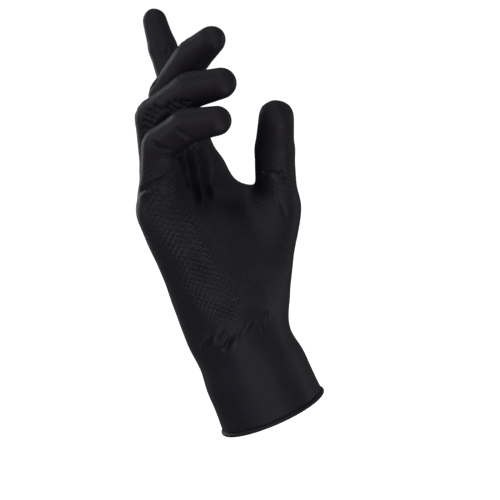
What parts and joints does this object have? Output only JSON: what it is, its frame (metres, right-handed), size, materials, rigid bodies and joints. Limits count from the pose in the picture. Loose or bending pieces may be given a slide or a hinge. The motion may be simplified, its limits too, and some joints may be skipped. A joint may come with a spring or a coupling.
{
  "type": "nitrile exam glove",
  "caption": "Thin right-hand nitrile exam glove in its filled shape, fingers loosely curled, with an open hollow cuff and a rolled bead round the mouth.",
  "frame": {"origin": "centre of the cuff's mouth, on the plane of the bead's lowest edge", "axes": "+Z runs from the mouth up the cuff towards the fingers, +X points to the thumb side, the palm faces -Y and the back faces +Y"},
  "size_m": [0.1056, 0.0941, 0.2274],
  "materials": {
    "nitrile": "smooth satin film, fishscale grip texture on the palm and thumb"
  },
  "bodies": {
    "root": {"glove": "nitrile"}
  },
  "joints": []
}
